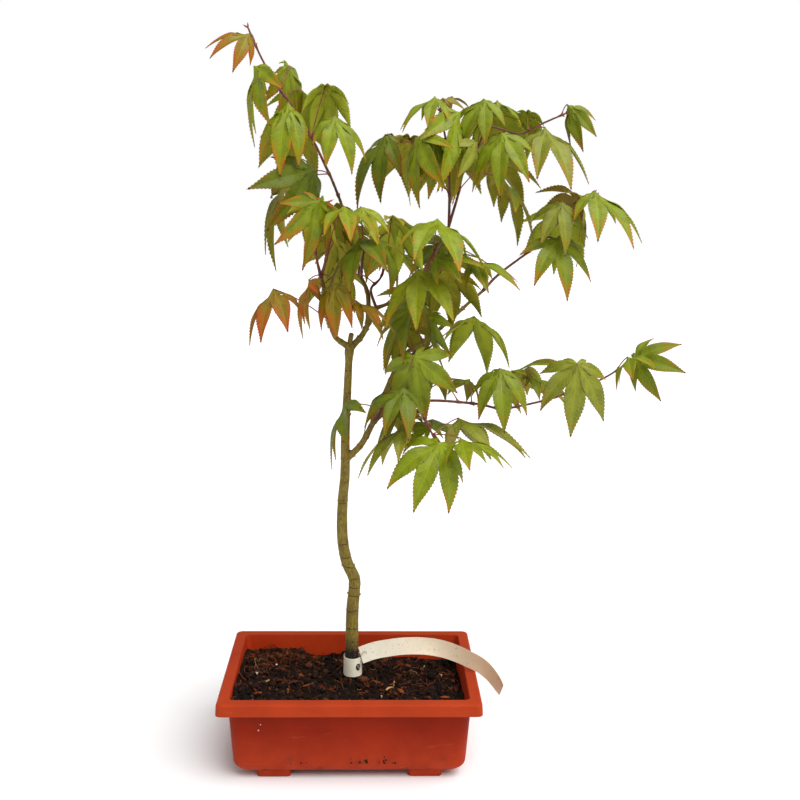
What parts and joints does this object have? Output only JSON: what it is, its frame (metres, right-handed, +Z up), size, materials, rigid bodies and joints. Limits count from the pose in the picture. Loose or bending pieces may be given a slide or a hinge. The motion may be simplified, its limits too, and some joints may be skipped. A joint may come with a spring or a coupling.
{
  "type": "potted japanese maple",
  "caption": "Young japanese maple with hand-shaped hanging leaves on a slender forked trunk, in a shallow rectangular terracotta-coloured training pot with a blank loop tag.",
  "frame": {"origin": "middle of the whole part's box, at the underside of the pot's feet", "axes": "+Z up, +X to the tree's right seen from the front, the front towards -Y; the pot's long side lies along X"},
  "size_m": [0.3544, 0.2114, 0.5603],
  "materials": {
    "pot": "matte",
    "soil": "matte",
    "tag": "satin",
    "bark": "matte",
    "foliage": "matte"
  },
  "bodies": {
    "root": {"pot": "pot", "soil": "soil", "tag": "tag", "trunk": "bark", "bough_low_right": "bark", "bough_low_tip": "bark", "bough_middle": "bark", "bough_right": "bark", "bough_left": "bark", "bough_left_upper": "bark", "bough_centre": "bark", "bough_centre_rear": "bark", "bough_centre_right": "bark", "bough_top_left": "bark", "bough_high": "bark", "bough_top_middle": "bark", "foliage_top_left": "foliage", "foliage_left": "foliage", "foliage_left_inner": "foliage", "foliage_far_left": "foliage", "foliage_centre": "foliage", "foliage_centre_right": "foliage", "foliage_middle": "foliage", "foliage_middle_low": "foliage", "foliage_right_upper": "foliage", "foliage_top_middle": "foliage", "foliage_top_right": "foliage", "foliage_low_right": "foliage", "foliage_low": "foliage", "foliage_by_trunk": "foliage"}
  },
  "joints": []
}
